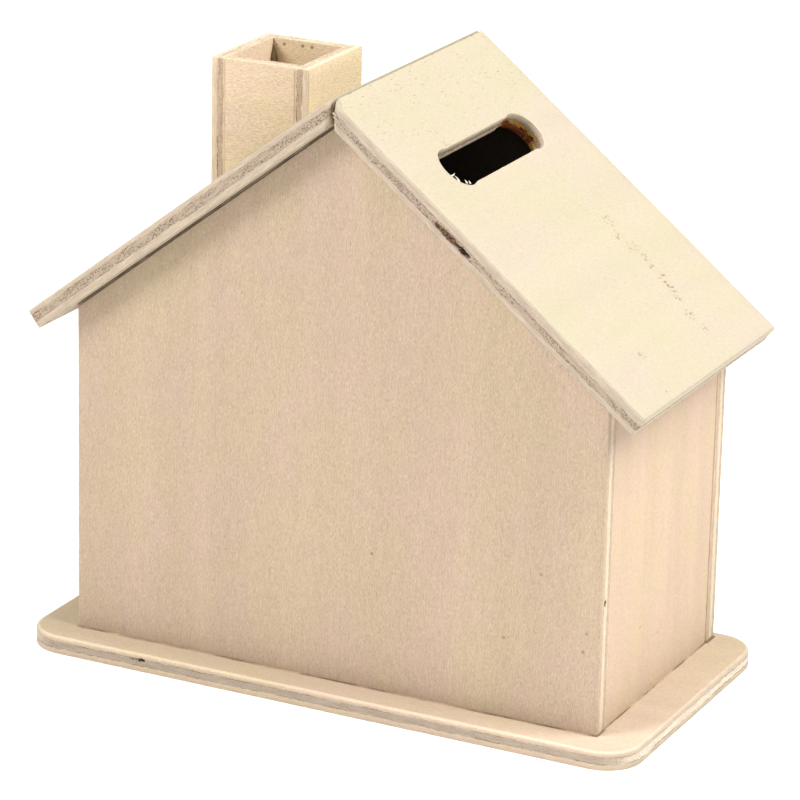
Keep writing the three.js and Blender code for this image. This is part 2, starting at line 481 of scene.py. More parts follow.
class Graph:
    """Short calls that add nodes to one material. An input is another node's output or a plain value."""

    def __init__(self, name):
        self.material = bpy.data.materials.new(name)
        self.material.use_nodes = True
        self.tree = self.material.node_tree
        self.tree.nodes.clear()
        self.ply = self.attribute("ply")

    def node(self, kind, inputs=(), **settings):
        made = self.tree.nodes.new("ShaderNode" + kind)
        for key, value in settings.items():
            setattr(made, key, value)
        for key, value in dict(inputs).items():
            if isinstance(value, bpy.types.NodeSocket):
                self.tree.links.new(value, made.inputs[key])
            else:
                made.inputs[key].default_value = value
        return made

    def attribute(self, name, output="Vector"):
        return self.node("Attribute", attribute_name=name).outputs[output]

    def math(self, operation, *values):
        return self.node("Math", enumerate(values), operation=operation).outputs[0]

    def plus(self, one, two):
        return self.math("ADD", one, two)

    def minus(self, one, two):
        return self.math("SUBTRACT", one, two)

    def times(self, one, two):
        return self.math("MULTIPLY", one, two)

    def vector(self, operation, *values):
        return self.node("VectorMath", enumerate(values), operation=operation).outputs[0]

    def scaled(self, colour, factor):
        return self.node("VectorMath", {0: colour, "Scale": factor}, operation="SCALE").outputs[0]

    def step(self, value, low, high):
        inputs = {"Value": value, "From Min": low, "From Max": high}
        return self.node("MapRange", inputs, interpolation_type="SMOOTHSTEP").outputs[0]

    def ranged(self, value, low, high):
        return self.node("MapRange", {"Value": value, "To Min": low, "To Max": high}).outputs[0]

    def mix(self, share, one, two):
        inputs = {0: share, 6: one, 7: two}
        return self.node("Mix", inputs, data_type="RGBA").outputs[2]

    def noise(self, stretch, detail=2.0, roughness=0.5, place=None):
        inputs = {"Vector": self.vector("MULTIPLY", place or self.ply, stretch), "Scale": 1.0,
                  "Detail": detail, "Roughness": roughness}
        return self.node("TexNoise", inputs).outputs[0]

    def finish(self, colour, roughness, height, strength, distance, specular):
        bump = self.node("Bump", {"Height": height, "Strength": strength, "Distance": distance})
        inputs = {"Base Color": colour, "Roughness": roughness, "Normal": bump.outputs[0],
                  "Specular IOR Level": specular}
        shader = self.node("BsdfPrincipled", inputs)
        self.node("OutputMaterial", {"Surface": shader.outputs[0]})
        return self.material


# Plain looks: no painted light on the inner face, and a faint painted highlight on rounded corners (rim).
PLAIN_LOOK = dict(
    fibre=0.2, bands=0.12, flame=0.006, pores=0.10, rough_top=0.0, stipple=0.5, glue_tone=0.45,
    painted_inner_light=1.0, long_tone=1.0, rim=0.05, blur=0.10, marks=())


class Plywood(Graph):
    """Three plies: two veneers with grain along u, and a core between them with grain along v.

    Colours: a veneer's face (veneer) and its edge cut across the grain (end); the core cut across its own
    grain (core) and along it (long_core). Strengths: fibre, bands, flame and pores of the face's figure,
    rough_top of the pores near v = 0, stipple of pits in the edge, glue_tone of the lines between plies.
    Tones: painted shade on the inner face where its factor is below 1 and painted light where it is above;
    of an edge along the grain; and painted highlight on rounded corners where rim is above 0, painted shade
    where it is below. blur is how soft a ply's border is.
    """

    def __init__(self, name, glue, **look):
        super().__init__(name)
        self.look = SimpleNamespace(**{**PLAIN_LOOK, **look})
        self.lower, self.upper = glue
        self.cut = self.attribute("cut", "Fac")
        self.across, self.height = self.node("SeparateXYZ", {0: self.ply}).outputs[1:]
        self.on_edge, self.dark, self.holed = self.node("SeparateXYZ", {0: self.attribute("wear")}).outputs
        self.off_edge = self.minus(1.0, self.on_edge)

        self.strokes = self.noise((0.7, 5.0, 5.0), 2.0, 0.6)
        self.threads = self.noise((1.8, 7.0, 7.0), 1.0)
        self.pore = self.step(self.noise((0.60, 5.0, 5.0), 1.0), 0.66, 0.78)
        self.speck = self.rare_specks()
        self.dots = self.noise((3.0, 3.0, 4.2), 3.0, 0.7)
        self.streaks = self.noise((0.3, 0.3, 4.0), 3.0, 0.65)
        self.torn = self.noise((1.1, 1.1, 1.0), 3.0, 0.65)
        self.ragged = self.plus(self.height, self.ranged(self.torn, -0.35, 0.35))

    def rare_specks(self):
        places = self.vector("MULTIPLY", self.ply, (0.10, 0.14, 0.14))
        cells = self.node("TexVoronoi", {"Vector": places, "Scale": 1.0})
        rare = self.step(self.node("SeparateColor", {0: cells.outputs["Color"]}).outputs[0], 0.84, 0.86)
        return self.times(self.step(cells.outputs["Distance"], 0.040, 0.015), rare)


def veneer(g):
    """The veneer's face: strokes along the grain, soft bands, a faint flame figure, pores and specks."""
    look = g.look
    broad = g.noise((0.008, 0.15, 0.3))
    blotches = g.noise((0.05, 0.08, 0.1), 4.0, 0.6)
    rise = g.noise((0.014, 0.05, 0.03), 1.5, 0.4)
    figure = g.math("SINE", g.times(rise, 60.0))
    tone = 1.0
    for texture, strength in ((g.strokes, 1.7 * look.fibre), (g.threads, 2.6 * look.fibre),
                              (broad, 2 * look.bands)):
        tone = g.plus(tone, g.times(g.minus(texture, 0.5), strength))
    tone = g.plus(tone, g.times(figure, look.flame))
    coarse = g.ranged(g.step(g.across, 26.0, 6.0), look.pores, max(look.pores, look.rough_top))
    tone = g.minus(tone, g.times(g.pore, coarse))
    warm = tinted(look.veneer, 0.985, 1.005, 0.92)
    cool = tinted(look.veneer, 1.005, 0.985, 1.0)
    shade = g.scaled(g.mix(g.step(blotches, 0.35, 0.65), warm, cool), tone)
    return g.mix(g.times(g.speck, 0.55), shade, paint(130, 96, 64))


def marked(g, face):
    """The face with its marks. The wide ones are broken up into flecks."""
    flecks = g.step(g.noise((1.1, 2.0, 2.0), 2.0, 0.6), 0.52, 0.62)
    for along, across, radius, strength in g.look.marks:
        flat = g.vector("MULTIPLY", g.vector("SUBTRACT", g.ply, (along, across, 0.0)), (1.0, 1.0, 0.0))
        reach = g.node("VectorMath", {0: flat}, operation="LENGTH").outputs["Value"]
        fleck = g.step(reach, radius, radius * 0.4)
        if radius > SMALL_MARK:
            fleck = g.times(fleck, flecks)
        face = g.mix(g.times(fleck, strength), face, paint(162, 116, 72))
    return face


def toned(g, face):
    """The face with painted highlight and shade on its rounded corners, and painted light and shade on its
    inner side.
    """
    # Painted highlight along rounded corners where rim is above 0, painted shade where it is below.
    corner = g.times(g.times(g.on_edge, g.off_edge), 4 * g.look.rim)
    face = g.scaled(face, g.plus(1.0, corner))
    # Painted shade on the inner face: a factor below 1 darkens it, one above 1 is painted light.
    inward = g.times(g.step(g.height, 0.5 * g.lower, 0.0), g.off_edge)
    return g.scaled(face, g.ranged(inward, 1.0, g.look.painted_inner_light))


def with_core(g, face):
    """Cut edges: stippled where a ply is cut across its grain, streaked where it is cut along it."""
    look = g.look
    pitted = g.step(g.noise((0.14, 0.14, 0.9), 1.0), 0.32, 0.52)
    pits = g.times(g.step(g.dots, 0.49, 0.60), pitted)
    grain = g.plus(0.45, g.plus(g.times(g.dots, 0.20), g.times(g.streaks, 0.90)))
    end = g.mix(g.times(pits, 0.25 * look.stipple), look.end, paint(150, 126, 106))
    sides = g.scaled(face, g.ranged(g.on_edge, 1.0, look.long_tone))
    veneers = g.mix(g.times(g.on_edge, g.cut), sides, g.scaled(end, grain))
    core = g.scaled(g.mix(g.cut, look.core, look.long_core), grain)
    core = g.mix(g.times(pits, look.stipple), core, paint(128, 106, 88))
    above = g.step(g.ragged, g.lower - look.blur, g.lower + look.blur)
    below = g.step(g.ragged, g.upper + look.blur, g.upper - look.blur)
    return g.mix(g.times(above, below), veneers, core)


def with_glue_lines(g, colour):
    """Patchy brown lines where two plies meet."""
    gaps = [g.math("ABSOLUTE", g.minus(g.ragged, level)) for level in (g.lower, g.upper)]
    patchy = g.step(g.noise((0.25, 0.25, 0.5)), 0.40, 0.62)
    strength = g.times(patchy, g.look.glue_tone)
    line = g.times(g.step(g.math("MINIMUM", *gaps), 0.10, 0.02), strength)
    return g.mix(line, colour, paint(146, 112, 86))


def with_hole_walls(g, colour):
    """Walls of sawn holes, brightened as painted light, glowing brown and then dark where the tool has
    scorched them.
    """
    # Painted light brightens the slot's walls.
    colour = g.scaled(colour, g.ranged(g.step(g.holed, 0.0, 0.5), 1.0, HOLE_PAINTED_LIGHT))
    singed = g.plus(g.holed, g.ranged(g.torn, -0.45, 0.45))
    glow = g.mix(g.step(g.streaks, 0.40, 0.60), paint(255, 170, 60), paint(230, 200, 90))
    for low, high, burnt in ((0.56, 0.74, glow), (0.82, 0.98, paint(120, 36, 14))):
        colour = g.mix(g.times(g.step(singed, low, high), 0.9), colour, burnt)
    return colour


def with_voids(g, colour):
    """Voids and knots in the edge: torn brown wood round a dark hollow. A void's dark is painted shade in
    its recess.
    """
    # The dark hollow is painted shade in a void's recess; a knot's dark is its own colour.
    hollow = g.mix(g.step(g.dots, 0.42, 0.58), paint(150, 112, 84), paint(54, 32, 20))
    rough = g.plus(g.dark, g.ranged(g.dots, -0.3, 0.3))
    colour = g.mix(g.step(rough, 0.1, 0.6), colour, hollow)
    return g.mix(g.step(g.dark, 0.75, 0.98), colour, paint(34, 20, 12))


def relief(g):
    """Height of the fine bumps: raised strokes, fuzz on cut edges, sunken pores and specks."""
    fuzz = g.times(g.minus(g.dots, 0.5), g.times(g.on_edge, 2.4))
    raised = g.plus(g.plus(g.strokes, g.times(g.threads, 0.6)), fuzz)
    return g.minus(raised, g.plus(g.pore, g.times(g.speck, 2.0)))


def plywood(name, glue, **look):
    """The material of a sheet with glue lines at the two given heights."""
    g = Plywood(name, glue, **look)
    colour = veneer(g)
    for step in (marked, toned, with_core, with_glue_lines, with_hole_walls, with_voids):
        colour = step(g, colour)
    return g.finish(colour, g.ranged(g.strokes, 0.60, 0.80), relief(g), 0.5, 0.00008, 0.25)


class Stock:
    """Plywood sheet: record slot, thickness, the heights of its two glue lines, and its material."""

    def __init__(self, name, slot, thickness, glue_shares, **look):
        self.slot = slot
        self.thickness = thickness
        self.glue = [share * thickness for share in glue_shares]
        self.material = plywood(name, self.glue, **look)


def dried_glue(name, pale, deep):
    """Glue squeezed out of a joint, with wood dust and dirt in it."""
    g = Graph(name)
    dust = g.noise((1.6, 1.6, 1.6), 3.0, 0.65)
    patches = g.noise((0.16, 0.16, 0.16), 2.0, 0.5)
    share = g.plus(g.step(patches, 0.35, 0.65), g.ranged(dust, -0.3, 0.3))
    return g.finish(g.mix(share, pale, deep), g.ranged(dust, 0.45, 0.75), dust, 0.4, 0.00006, 0.3)


def moulded_plastic(name, colour):
    """Pale plastic with a fine moulded skin, faint flow marks and scuffs."""
    g = Graph(name)
    skin = g.noise((4.0, 4.0, 4.0), 3.0, 0.6)
    flow = g.noise((0.12, 0.12, 0.2), 2.0, 0.5)
    scuffs = g.step(g.noise((0.5, 4.0, 2.0), 2.0, 0.6), 0.60, 0.75)
    tone = g.minus(flow, g.times(scuffs, 0.3))
    roughness = g.plus(g.ranged(skin, 0.38, 0.55), g.times(scuffs, 0.15))
    shade = g.mix(tone, tinted(colour, 0.9, 0.9, 0.9), tinted(colour, 1.08, 1.08, 1.08))
    return g.finish(shade, roughness, skin, 0.25, 0.00004, 0.45)


# -------- boards

BASE_THICKNESS = corners("base_plate")[1][2]
WALL_THICKNESS = np.ptp([corner[1] for corner in corners("front_gable")])
ROOF_THICKNESS = 3.6
CHIMNEY_THICKNESS = np.ptp([corner[0] for corner in corners("chimney_left_wall")])
ROOF_FRONT = corners("right_roof_panel")[0][1]

# Each board is cut from its own part of the procedural wood, in this order
WOODS = ("base_plate", "front_gable", "rear_gable", "right_side_wall", "left_side_wall", "right_roof_panel",
         "left_roof_panel", "chimney_left_wall", "chimney_right_wall", "chimney_front_wall",
         "chimney_rear_wall")

# Marks on faces: (across the grain, along it, radius, strength). They are measured down the slotted slope
# and in from its front edge; from the front gable's middle and up; along Y and up on the right wall; up and
# to the left of the middle inside the chimney's rear wall.
SLOPE_MARKS = ((41.5, 40.5, 1.8, 0.45), (44.5, 39, 1.7, 0.6), (47.5, 40, 2.0, 0.45), (50.5, 40.5, 1.2, 0.9),
               (52.5, 40, 1.3, 0.7), (55, 40, 1.7, 0.75), (57, 39.5, 1.6, 0.75), (59, 39, 1.7, 0.7),
               (63, 37.5, 1.7, 0.65), (66, 37.5, 1.6, 0.5), (64, 15, 1.4, 0.5), (16, 18, 1.4, 0.25))
GABLE_MARKS = ((7.5, 27.9, 0.42, 0.75), (38.8, 30.1, 0.36, 0.6), (47.4, 21.2, 0.34, 0.6),
               (46.9, 17.9, 0.42, 0.7), (32.4, 17.6, 0.4, 0.7))
WALL_MARKS = ((17.3, 45.4, 0.3, 0.5), (-6.3, 16.8, 0.35, 0.6), (1.5, 13.2, 0.3, 0.6), (-0.4, 4.3, 0.35, 0.6))
PIN_MARKS = ((104.7, 27.7, 0.42, 0.85), (104.8, 24.1, 0.42, 0.85), (104.8, 22.3, 0.42, 0.85))


def in_wood(marks, node, shift=0.0):
    """The marks as (along the grain, across it, radius, strength) in the wood that a board is cut from."""
    start = WOOD_STEP * WOODS.index(node) + shift
    return [(start + along, across, radius, strength) for across, along, radius, strength in marks]


def base_plate(stock):
    low, high = corners("base_plate")
    outline = rectangle(low[:2], high[:2], BASE_CORNER_RADIUS)
    plug_low, plug_high = corners("bottom_stopper")
    hole = circle((plug_low + plug_high)[:2] / 2, STOPPER_HOLE_RADIUS)
    level = 0.66 * BASE_THICKNESS
    knot = [Flaw(-33.9, low[1], level, reach=0.7, tall=0.45, depth=0.35),
            Flaw(-35.0, low[1], level, reach=2.2, tall=0.35, depth=0.03, darkness=0.35)]
    make_board("base_plate", stock, (0, 0, 0), X, Y, outline, "a", soften=0.6, holes=[hole], flaws=knot)


def gable(name, stock, facing, flaws=()):
    """A gable whose outer face looks along facing times Y."""
    low, high = corners(name)
    half = high[0]
    eave = high[2] - half * SLOPE
    outline = rounded([(-half, low[2]), (half, low[2]), (half, eave), (0, high[2]), (-half, eave)], 0.35)
    inner = high[1] if facing < 0 else low[1]
    make_board(name, stock, (0, inner, 0), -facing * X, Z, outline, "b", soften=0.25, flaws=flaws)


def side_wall(name, stock, facing):
    """A wall between the gables, whose top edge is bevelled to the roof's pitch."""
    low, high = corners(name)
    ends = sorted((facing * low[1], facing * high[1]))
    outline = rectangle((ends[0], low[2]), (ends[1], high[2]), 0.25)
    inner = low[0] if facing > 0 else high[0]

    def bevel(points, level):
        fade = np.clip((points[:, 1] - high[2] + BEVEL_FADE) / BEVEL_FADE, 0, 1)
        return points - np.outer(level * SLOPE * fade, (0, 1))

    make_board(name, stock, (inner, 0, 0), facing * Y, Z, outline, "b", soften=0.15, bevel=bevel)


def down_slope(side):
    return np.array((side * COSINE, 0, -math.sin(PITCH)))


def roof_panel(name, stock, side, soften, ridge_wear, slotted=False, flaws=()):
    """One slope: a runs down from the mitred ridge and b along it. The front corner at the ridge is worn."""
    low, high = corners(name)
    length = (high[0] - low[0]) / COSINE
    ends = sorted((side * low[1], side * high[1]))
    radii = [soften + 0.2] * 4
    radii[0 if side > 0 else 3] = 1.2 * (soften + ridge_wear)
    outline = rectangle((0, ends[0]), (length, ends[1]), radii)
    worn = [Worn(0, side * low[1], 2.5 * ridge_wear, ridge_wear)]
    down = down_slope(side)
    out = np.array((side * math.sin(PITCH), 0, COSINE))
    ridge_x = low[0] if side > 0 else high[0]
    origin = np.array((ridge_x, 0, high[2])) - ROOF_THICKNESS * out
    slot_centre = np.array((SLOT_FROM_RIDGE, sum(ends) / 2))

    def bevel(points, level):
        fade = np.clip(1 - points[:, 0] / BEVEL_FADE, 0, 1)
        return points + np.outer((ROOF_THICKNESS - level) * SLOPE * fade, (1, 0))

    def scorch(points):
        far = points[:, 1] - slot_centre[1] - SLOT_LENGTH / 2 + SLOT_DRILL_RADIUS
        uphill = slot_centre[0] - points[:, 0]
        rim = smoothstep(-1.5, 1.0, far) * smoothstep(-3.6, -1.0, uphill)
        return rim * smoothstep(0.75, 0.25, points[:, 2] / ROOF_THICKNESS)

    holes = [slot_outline(slot_centre)] if slotted else []
    make_board(name, stock, origin, down, side * Y, outline, "b", soften=soften, holes=holes,
               bevel=bevel, flaws=flaws, worn=worn, stain=scorch, chips=CHIP_DEPTH)


def chimney_wall(name, stock, facing):
    """A chimney wall whose outer face looks along facing, with its foot cut to the slope."""
    low, high = corners(name)
    across = np.cross(Z, facing)
    ends = sorted((across @ low, across @ high))
    inner = np.where(facing > 0, low, high) * abs(facing)
    rise = across[0] * SLOPE
    lean = facing[0] * SLOPE
    foot = low[2] + max(0, -rise) * (ends[1] - ends[0]) + max(0, -lean) * stock.thickness
    outline = rounded([(ends[0], foot), (ends[1], foot + rise * (ends[1] - ends[0])), (ends[1], high[2]),
                       (ends[0], high[2])], 0.35)

    def bevel(points, level):
        fade = np.clip((foot + BEVEL_FADE - points[:, 1]) / BEVEL_FADE, 0, 1)
        return points + np.outer(level * lean * fade, (0, 1))

    make_board(name, stock, inner, across, Z, outline, "a", soften=0.2, bevel=bevel)


# -------- glue and splinters

def roof_glue(side, material):
    """Glue under one slope, on both gables and the side wall, in the slope's own frame."""
    sign, inner = ("right", 0) if side > 0 else ("left", 1)
    top = corners("front_gable")[1]
    length = top[0] / COSINE
    wall = sign + "_side_wall"
    wall_start = abs(corners(wall)[inner][0]) / COSINE
    seats = (("front", "front_gable", 0.2, length), ("rear", "rear_gable", 0.2, length),
             ("wall", wall, wall_start, length - SIDE_WALL_INSET / COSINE))
    for label, node, start, finish in seats:
        low, high = corners(node)
        ends = sorted((side * low[1], side * high[1]))
        extent = ((start, ends[0]), (finish, ends[1]))
        glue_sheet("glue_%s_%s" % (sign, label), material, (0, 0, top[2]), down_slope(side),
                   side * Y, extent)


def ridge_glue(material):
    """Glue in the mitre between the two slopes, with its front end eaten back."""
    low, high = corners("right_roof_panel")
    top = high[2] - low[0] * SLOPE
    bottom = top - ROOF_THICKNESS / COSINE
    glue_sheet("glue_ridge", material, (-GLUE_LINE / 2, 0, 0), Y, Z,
               ((low[1], bottom), (high[1], top)), inset=0.6, wander=0.8)


def chimney_glue(material):
    """Glue under the chimney's feet, on the left slope."""
    low = corners("chimney_left_wall")[0]
    high = corners("chimney_right_wall")[1]
    ridge = corners("left_roof_panel")[1]
    down = down_slope(-1)
    start, finish = -high[0] / COSINE, -low[0] / COSINE
    extent = ((start, -high[1]), (finish, -low[1]))
    wall = CHIMNEY_THICKNESS / COSINE
    opening = ((start + wall, -high[1] + CHIMNEY_THICKNESS), (finish - wall, -low[1] - CHIMNEY_THICKNESS))
    top = np.array((0, 0, ridge[2] - ridge[0] * SLOPE))
    glue_sheet("glue_chimney", material, top, down, -Y, extent, opening)


def bead(name, material, lines, radius, unevenness, upright, looped=False):
    """Glue or filler squeezed out of joints, along lines of points."""
    shell = Shell()
    for line in lines:
        tube(shell, line, radius + unevenness * noise_along(line, 2.3), upright, looped)
    piece = shell.to_object(name, (0, 0, 0), X, Y, material)
    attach(piece, "house")


def straight(start, finish):
    """Points a bead step apart from start to finish."""
    count = math.ceil(np.linalg.norm(np.subtract(finish, start)) / BEAD_STEP)
    return np.linspace(start, finish, count)


def joint_beads(glue, dark, filler):
    """Thin lines of glue round the walls' foot, a dark line under the left slope that is glue and painted
    shade, and filler in the corner joints.
    """
    gable_low, gable_high = corners("front_gable")
    rear_low, rear_high = corners("rear_gable")
    x, wall_x, z = gable_high[0], gable_high[0] - SIDE_WALL_INSET, gable_low[2]
    front, inner, rear_inner, rear = gable_low[1], gable_high[1], rear_low[1], rear_high[1]
    right_turns = [(x, front), (x, inner), (wall_x, inner), (wall_x, rear_inner), (x, rear_inner), (x, rear)]
    left_turns = [(-across, along) for across, along in reversed(right_turns)]
    turns = left_turns[-1:] + right_turns + left_turns[:-1]
    foot = at_level(closed([np.array([turn]) for turn in turns], BEAD_STEP), z)
    bead("glue_foot", glue, [foot], 0.20, 0.10, Z, looped=True)
    eave, ridge = gable_high[2] - x * SLOPE, gable_high[2]
    slopes = [straight((-x + 0.5, y, eave + 0.55), (-0.3, y, ridge)) for y in (front - 0.12, rear + 0.12)]
    # A dark brown line along the left slope's front and rear: painted shade in the joint under the eave,
    # over glue.
    bead("glue_left_slope", dark, slopes, 0.20, 0.06, Y)
    joints = [straight((side * wall_x, y, z + 0.2), (side * wall_x, y, z + EAVE_HEIGHT))
              for side in (-1, 1) for y in (inner, rear_inner)]
    bead("filler_corners", filler, joints, 0.24, 0.05, X)


def chimney_seams(material):
    """Filled seams where the chimney's front and rear walls meet the side ones."""
    low = corners("chimney_front_wall")[0]
    high = corners("chimney_rear_wall")[1]
    ridge = corners("left_roof_panel")[1]
    lines = []
    for x in (low[0], high[0]):
        foot = ridge[2] + (x - ridge[0]) * SLOPE + 1
        for y in (low[1] + SEAM_INSET, high[1] - SEAM_INSET):
            lines.append(straight((x, y, foot), (x, y, high[2] - 0.2)))
    bead("filler_chimney", material, lines, 0.26, 0.03, X)


def chimney_corner_glue(material):
    """A drip of glue in the inside corner between the chimney's left and rear walls."""
    low, high = corners("chimney_rear_wall")
    x = corners("chimney_left_wall")[1][0]
    run = straight((x, low[1], high[2] - 1.3), (x, low[1], high[2] - 8))
    swell = 0.1 + np.sin(np.linspace(0, math.pi, len(run)))
    bead("glue_chimney_corner", material, [run], swell, 0.15, X)


def strand(shell, root, heading, lift, length, width, curl):
    """A torn fibre that starts at root in the board's plane and tapers to its tip."""
    share = np.linspace(0, 1, 6)
    turn = math.radians(heading) + curl * share
    run = np.cumsum(np.r_[0, np.diff(share)] * length)
    path = np.array(root) + np.column_stack((run * np.cos(turn), run * np.sin(turn), lift * share ** 2))
    tube(shell, path, width / 2 * (1.05 - share ** 1.5), np.array((0, 0, 1.0)), looped=False)


def torn_fibres(name, material, strands):
    """Splinters on the slotted slope: (down, along, height, heading, lift, length, width, curl) of each."""
    low, high = corners("right_roof_panel")
    shell = Shell()
    for a, b, height, *shape in strands:
        strand(shell, (a, b, height), *shape)
    fibres = shell.to_object(name, (low[0], 0, high[2]), down_slope(1), Y, material)
    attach(fibres, "house")


# -------- stopper

STOPPER_SOFTEN = 0.6
STOPPER_CLEARANCE = 0.01
RIB_LEVELS = (2.2, 3.8)
RIB_HALF_WIDTH = 0.3
RIB_HEIGHT = 0.12
BETWEEN_RIBS_INSET = 0.14
POCKET_CORNER = 0.9
POCKET_FILLET = 0.5
POCKET_DRAFT = 0.08
POCKET_FLOOR_INSET = 0.3
STOPPER_GRID = 1.5


def pocket_outline(centre, side):
    """A half-round pocket beside the grip bar, with rounded corners."""
    offset = GRIP_BAR_WIDTH / 2 + POCKET_CORNER
    reach = math.sqrt((POCKET_RADIUS - POCKET_CORNER) ** 2 - offset ** 2)
    lift = math.atan2(offset, reach)
    stretches = [arc((0, 0), POCKET_RADIUS, lift, math.pi - 2 * lift),
                 arc((-reach, offset), POCKET_CORNER, math.pi - lift, math.pi / 2 + lift, 0.2),
                 arc((reach, offset), POCKET_CORNER, -math.pi / 2, math.pi / 2 + lift, 0.2)]
    return np.array(centre) + side * closed(stretches)


def quarter_round(radius):
    """(level, inset) of the rings round an outer corner of this radius, from the face to the side."""
    turn = np.linspace(0, math.pi / 2, CORNER_STEPS)
    return [(radius * (1 - math.cos(t)), radius * (1 - math.sin(t))) for t in turn]


def grip_pocket(shell, centre, side):
    """One pocket sunk into the stopper's underside. Gives the ring round its mouth."""
    loop = pocket_outline(centre, side)[::-1]
    inward = -left_normals(loop)
    corner = quarter_round(POCKET_FILLET)
    levels = np.linspace(POCKET_FILLET, POCKET_DEPTH - POCKET_FILLET, 6)[1:-1]
    steps = [(level, -inset) for level, inset in corner]
    steps += [(level, POCKET_DRAFT * level) for level in levels]
    steps += [(POCKET_DEPTH - inset, POCKET_FLOOR_INSET + level) for level, inset in corner]
    levels, insets = np.transpose(steps)
    mouth, floor = shell.stack([loop + inward * inset for inset in insets], levels)
    shell.cap([floor[::-1]], POCKET_DEPTH, POCKET_DEPTH, up=False, grid=STOPPER_GRID)
    return mouth


def stopper(material):
    """Push-in plug: two grip pockets in its underside and two sealing ribs round its side."""
    low, high = corners("bottom_stopper")
    centre = (low + high)[:2] / 2
    tall = high[2] - low[2]
    shell = Shell()
    ring = circle(centre, (high[0] - low[0]) / 2)
    normals = left_normals(ring)
    lower = quarter_round(STOPPER_SOFTEN)
    side = []
    for level in np.linspace(STOPPER_SOFTEN, tall - STOPPER_SOFTEN, 30)[1:-1]:
        rib = sum(math.exp(-((level - middle) / RIB_HALF_WIDTH) ** 2) for middle in RIB_LEVELS)
        side.append((level, BETWEEN_RIBS_INSET - RIB_HEIGHT * min(rib, 1)))
    upper = [(tall - level, inset) for level, inset in reversed(lower)]
    levels, insets = np.transpose(lower + side + upper)
    insets = insets + STOPPER_TAPER * levels / tall + STOPPER_CLEARANCE
    underside, top = shell.stack([ring + normals * inset for inset in insets], levels)
    shell.cap([top], tall, tall, up=True)
    mouths = [grip_pocket(shell, centre, direction) for direction in (1, -1)]
    shell.cap([underside, *mouths], 0, 0, up=False, grid=STOPPER_GRID)
    plug = shell.to_object("bottom_stopper_plug", (0, 0, low[2]), X, Y, material)
    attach(plug, "stopper")
    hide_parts("bottom_stopper")


# -------- room

def camera(azimuth, elevation, roll, distance, target, lens):
    """A camera looking at the target, in millimetres; azimuth 0 looks along +Y."""
    a, e, r = np.radians((azimuth, elevation, roll))
    back = np.array((math.sin(a) * math.cos(e), -math.cos(a) * math.cos(e), math.sin(e)))
    level = np.array((math.cos(a), math.sin(a), 0))
    upright = np.cross(back, level)
    right = math.cos(r) * level + math.sin(r) * upright
    up = math.cos(r) * upright - math.sin(r) * level
    data = bpy.data.cameras.new("camera")
    data.sensor_width = 36
    data.lens = lens
    data.clip_start = 0.01
    made = add_object("camera", data)
    place = (np.array(target) + back * distance) * MM
    rotation = Matrix(np.column_stack((right, up, back)).tolist()).to_4x4()
    made.matrix_world = Matrix.Translation(Vector(place)) @ rotation
    bpy.context.scene.camera = made


def sun(name, towards, strength, spread):
    """A distant light from the direction towards, which looks spread degrees wide."""
    data = bpy.data.lights.new(name, "SUN")
    data.energy = strength
    data.angle = math.radians(spread)
    add_object(name, data).rotation_euler = Vector(towards).to_track_quat("Z", "Y").to_euler()


FLOOR_SHADES = ((0.92, 0.915, 0.905, 1.0), (0.95, 0.945, 0.935, 1.0))
FLOOR_HALF = 3.0  # metres


def sky(strength):
    """Even white light from all round."""
    world = bpy.data.worlds.new("studio")
    world.use_nodes = True
    background = world.node_tree.nodes["Background"]
    background.inputs["Color"].default_value = (1, 1, 1, 1)
    background.inputs["Strength"].default_value = strength
    bpy.context.scene.world = world
    bpy.context.scene.view_settings.view_transform = "Standard"


def paper_floor():
    """Plain pale paper under the money box."""
    g = Graph("floor_paper")
    tooth = g.noise((900, 900, 900), place=g.node("TexCoord").outputs["Object"])
    shade = g.mix(tooth, FLOOR_SHADES[0], FLOOR_SHADES[1])
    mesh = bpy.data.meshes.new("floor")
    square = [(x * FLOOR_HALF, y * FLOOR_HALF, 0) for x, y in ((-1, -1), (1, -1), (1, 1), (-1, 1))]
    mesh.from_pydata(square, [], [(0, 1, 2, 3)])
    mesh.materials.append(g.finish(shade, 0.9, tooth, 0.1, 0.00005, 0.2))
    floor = add_object("floor", mesh)


# -------- the money box

# The roof's rounded corners are darkened as painted shade (rim).
ROOF_LOOK = dict(
    veneer=paint(219, 205, 181), core=paint(193, 175, 153), long_core=paint(197, 177, 153),
    fibre=0.11, bands=0.05, flame=0.003, pores=0.09, stipple=0.95, glue_tone=0.8, rim=-0.20)
# The chimney's inner faces are brightened a little as painted light, and its rounded corners darkened as
# painted shade (rim).
CHIMNEY_LOOK = dict(
    end=paint(244, 220, 190), core=paint(236, 214, 188), long_core=paint(220, 192, 160),
    fibre=0.31, bands=0.22, stipple=0.5, glue_tone=0.9, painted_inner_light=1.1, rim=-0.12)
CHIMNEY_VENEER = paint(246, 220, 187)


def chimney_stock(name, veneer, marks=()):
    return Stock(name, "chimney_plywood", CHIMNEY_THICKNESS, (0.13, 0.52), veneer=veneer, marks=marks,
                 **CHIMNEY_LOOK)


# The base's rounded top corner has a painted highlight line (rim).
base_stock = Stock(
    "base_plywood", "base_plywood", BASE_THICKNESS, (0.34, 0.72),
    veneer=paint(230, 206, 180), end=paint(206, 190, 166), core=paint(193, 176, 156),
    long_core=paint(250, 230, 206), fibre=0.18, stipple=0.4, glue_tone=1.0, long_tone=0.92,
    rim=0.34, blur=0.14)
# The gables' inner faces are darkened as painted shade.
gable_stock = Stock(
    "gable_plywood", "wall_plywood", WALL_THICKNESS, (0.30, 0.68),
    veneer=paint(210, 186, 161), end=paint(214, 192, 168), core=paint(238, 218, 190),
    long_core=paint(238, 218, 190), fibre=0.29, bands=0.085, stipple=0.15, glue_tone=0.3,
    painted_inner_light=0.35, marks=in_wood(GABLE_MARKS, "front_gable"))
